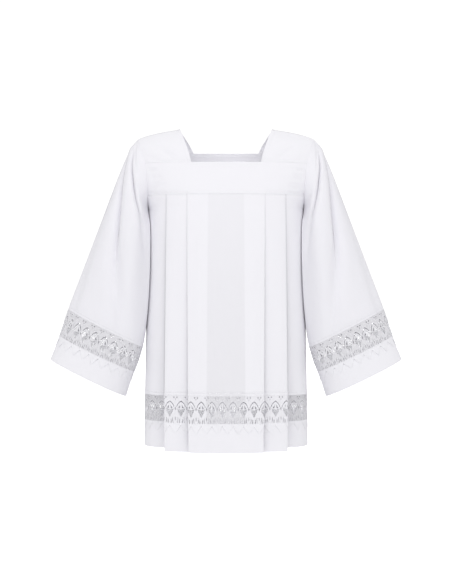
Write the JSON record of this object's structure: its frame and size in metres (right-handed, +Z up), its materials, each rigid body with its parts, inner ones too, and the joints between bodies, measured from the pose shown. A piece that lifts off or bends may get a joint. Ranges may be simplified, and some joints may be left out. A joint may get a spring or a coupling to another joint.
{
  "type": "surplice",
  "caption": "White surplice filled out as if worn: square neck and yoke, box-pleated body, wide sleeves, lace set in above the hem and sleeve bands.",
  "frame": {"origin": "midway between the two points where the neck edge crosses the shoulder line, at their height", "axes": "+X to the wearer's left, +Y to the wearer's back, +Z up"},
  "size_m": [0.8772, 0.2635, 0.7887],
  "materials": {
    "cotton": "plain woven white cotton blend, matt, slightly see-through",
    "lace": "white lace on a fine net ground, open between its motifs"
  },
  "bodies": {
    "root": {"yoke_front": "cotton", "yoke_back": "cotton", "strap_left": "cotton", "strap_right": "cotton", "panel_front": "cotton", "panel_back": "cotton", "lace_front": "lace", "lace_back": "lace", "hem_front": "cotton", "hem_back": "cotton", "sleeve_left": "cotton", "sleeve_right": "cotton", "sleeve_lace_left_front": "lace", "sleeve_lace_left_back": "lace", "sleeve_lace_right_front": "lace", "sleeve_lace_right_back": "lace", "sleeve_hem_left": "cotton", "sleeve_hem_right": "cotton"}
  },
  "joints": []
}
